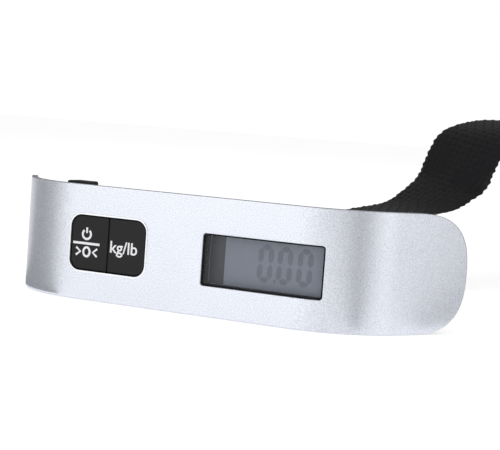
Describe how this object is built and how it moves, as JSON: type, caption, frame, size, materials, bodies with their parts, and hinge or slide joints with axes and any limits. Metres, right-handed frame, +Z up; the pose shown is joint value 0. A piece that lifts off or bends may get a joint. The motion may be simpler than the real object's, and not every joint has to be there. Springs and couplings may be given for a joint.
{
  "type": "digital luggage scale",
  "caption": "Hand-held hanging scale: long body with a bent silver cover, key panel and small display, and a webbing strap on a swinging ring.",
  "frame": {"origin": "on the flat foot of the rear housing, half-way along the body", "axes": "+Z up from the long edge that the body stands on, -Y out of the display, +X to the right of the display"},
  "size_m": [0.1298, 0.2868, 0.055],
  "materials": {
    "silver": "satin silver lacquer with a fine metallic grain, on moulded plastic",
    "black": "black moulded plastic with a fine spark-eroded texture",
    "key_rubber": "soft black silicone with a smooth satin face",
    "hook_plastic": "black moulded acetal, slightly glossy on its edges",
    "clear": "clear polished acrylic window",
    "display": "grey liquid-crystal glass with dark segments",
    "steel": "bright zinc-plated steel",
    "spring_steel": "nickel-plated spring steel",
    "aluminium": "milled aluminium",
    "board": "green glass-fibre circuit board with solder resist",
    "chip": "black epoxy package",
    "ceramic": "tan ceramic chip",
    "connector": "striped conductive silicone rubber",
    "foil": "amber polyimide film with metal foil tracks",
    "webbing": "black woven nylon webbing with cross ribs and looped edges"
  },
  "bodies": {
    "housing": {"front_cover": "silver", "window_lens": "clear", "front_frame": "black", "power_key_dome": "spring_steel", "unit_key_dome": "spring_steel", "display_glass": "display", "display_connector_upper": "connector", "display_connector_lower": "connector", "display_holder": "black", "board_screw_1": "steel", "board_screw_2": "steel", "circuit_board": "board", "controller_chip": "chip", "bridge_amplifier": "chip", "filter_capacitor": "ceramic", "supply_capacitor": "ceramic", "crystal": "steel", "rear_housing": "black", "housing_screw_lower": "steel", "housing_screw_upper": "steel", "housing_screw_middle": "steel", "battery_chamber": "black", "battery_spring_negative": "spring_steel", "battery_spring_positive": "spring_steel", "load_beam": "aluminium", "strain_gauge_upper": "foil", "strain_gauge_lower": "foil", "beam_screw_1": "steel", "beam_screw_2": "steel", "beam_spacer": "aluminium", "gauge_leads": "foil", "load_link": "steel", "link_pin": "steel"},
    "power_key": {"power_key": "key_rubber"},
    "unit_key": {"unit_key": "key_rubber"},
    "battery_drawer": {"battery_tray": "black", "coin_cell": "steel"},
    "ring_and_strap": {"strap_ring": "steel", "strap": "webbing", "end_hook": "hook_plastic"}
  },
  "joints": [
    {"name": "power_key_press", "type": "slide", "parent": "housing", "child": "power_key", "axis": [0, 1, 0], "range_m": [0, 0.0005], "stiffness_N_per_m": 1500},
    {"name": "unit_key_press", "type": "slide", "parent": "housing", "child": "unit_key", "axis": [0, 1, 0], "range_m": [0, 0.0005], "stiffness_N_per_m": 1500},
    {"name": "battery_drawer_slide", "type": "slide", "parent": "housing", "child": "battery_drawer", "axis": [0, 0, 1], "range_m": [0, 0.026]},
    {"name": "ring_swing", "type": "hinge", "parent": "housing", "child": "ring_and_strap", "pos_m": [0, 0.0045, 0.005], "axis": [1, 0, 0], "range_deg": [-90, 10]}
  ]
}
